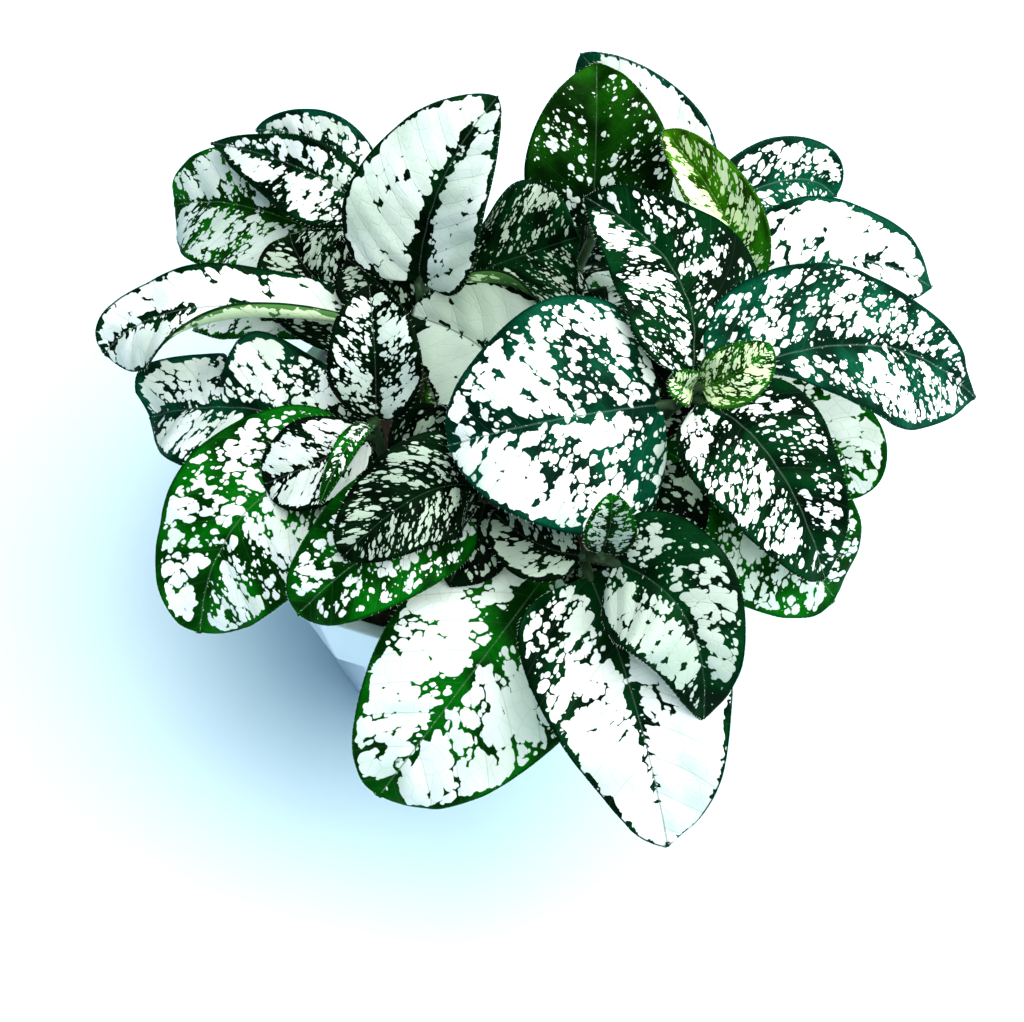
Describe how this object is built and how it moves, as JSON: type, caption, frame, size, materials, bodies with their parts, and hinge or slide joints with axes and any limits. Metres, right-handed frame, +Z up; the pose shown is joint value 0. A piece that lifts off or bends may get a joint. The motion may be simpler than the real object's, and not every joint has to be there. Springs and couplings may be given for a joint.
{
  "type": "potted polka dot plant",
  "caption": "Bushy small house plant with white-and-green spotted ovate leaves on slender stems, in a faceted white glazed pot with a stepped upper band.",
  "frame": {"origin": "middle of the pot's underside, on the surface that it stands on", "axes": "+Z up along the pot's axis, -Y towards the viewer of the picture, +X to that viewer's right"},
  "size_m": [0.1899, 0.1707, 0.1489],
  "materials": {
    "glaze": "gloss",
    "potting_mix": "matte",
    "foliage": "satin"
  },
  "bodies": {
    "root": {"pot": "glaze", "soil": "potting_mix", "leafy_stem_right": "foliage", "leafy_stem_front": "foliage", "leafy_stem_middle": "foliage", "leafy_stem_left": "foliage", "leafy_stem_inner": "foliage", "leafy_stem_back": "foliage", "leafy_stem_north": "foliage", "leafy_stem_east": "foliage", "leafy_stem_west": "foliage"}
  },
  "joints": []
}
